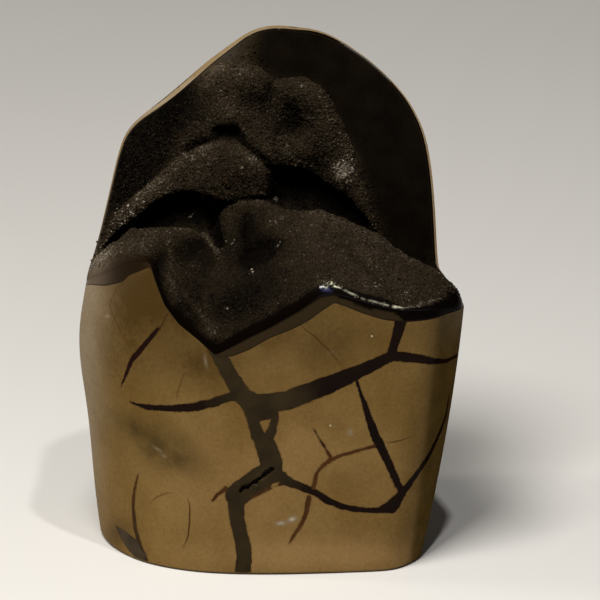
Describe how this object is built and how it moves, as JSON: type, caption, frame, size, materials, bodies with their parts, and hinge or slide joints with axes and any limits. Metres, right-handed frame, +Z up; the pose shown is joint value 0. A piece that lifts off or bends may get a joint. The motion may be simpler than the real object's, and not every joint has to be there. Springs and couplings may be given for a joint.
{
  "type": "septarian nodule",
  "caption": "Standing polished septarian nodule, cut flat underneath, its tan front veined dark, with a crystal-lined hollow open above and a dome behind.",
  "frame": {"origin": "middle of the bounding box on the surface the stone stands on", "axes": "+Z up, -Y towards the polished front that the hollow opens over, +X to the right seen from the front"},
  "size_m": [0.127, 0.0951, 0.1614],
  "materials": {
    "limestone": "ground and polished, tan limestone with dark calcite veins",
    "dark_calcite": "dark brown crystal crust, rough and sparkling inside the hollow, polished at its cut edge"
  },
  "bodies": {
    "root": {"nodule": "limestone", "crystal_crust": "dark_calcite"}
  },
  "joints": []
}
